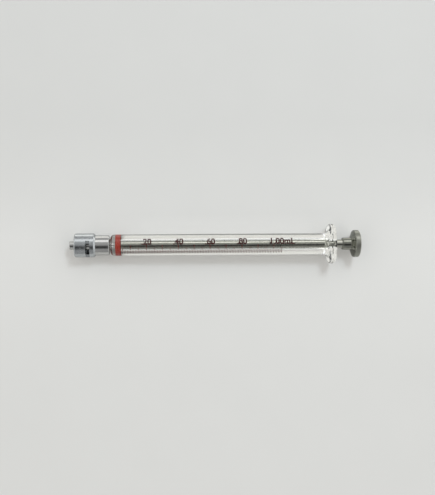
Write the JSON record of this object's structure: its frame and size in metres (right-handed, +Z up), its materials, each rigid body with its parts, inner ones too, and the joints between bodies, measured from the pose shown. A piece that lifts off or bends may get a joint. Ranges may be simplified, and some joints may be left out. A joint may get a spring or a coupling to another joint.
{
  "type": "metal piston syringe",
  "caption": "Glass syringe lying on its side, with a solid metal piston and thumb knob, a finger flange, a fired scale with a red zero band, and a metal luer lock tip.",
  "frame": {"origin": "middle of the whole syringe's length and width, at the height of the surface that it lies on", "axes": "+X along the syringe from the luer tip to the thumb knob, +Z up; the finger flange's wings point along +Y and -Y, and the scale is on the upper -Y side"},
  "size_m": [0.139, 0.019, 0.013],
  "materials": {
    "glass": "gloss",
    "polished_plate": "polished",
    "satin_plate": "satin",
    "cement": "matte",
    "lapped_steel": "satin",
    "turned_steel": "satin",
    "red_enamel": "gloss",
    "brown_enamel": "gloss"
  },
  "bodies": {
    "barrel": {"glass_barrel": "glass", "tip_hub": "polished_plate", "lock_collar": "satin_plate", "socket_cement": "cement", "zero_band": "red_enamel", "scale_lines": "brown_enamel"},
    "piston": {"piston_rod": "lapped_steel", "thumb_knob": "turned_steel"}
  },
  "joints": [
    {"name": "piston_slide", "type": "slide", "parent": "barrel", "child": "piston", "axis": [1, 0, 0], "range_m": [0, 0.0795]}
  ]
}
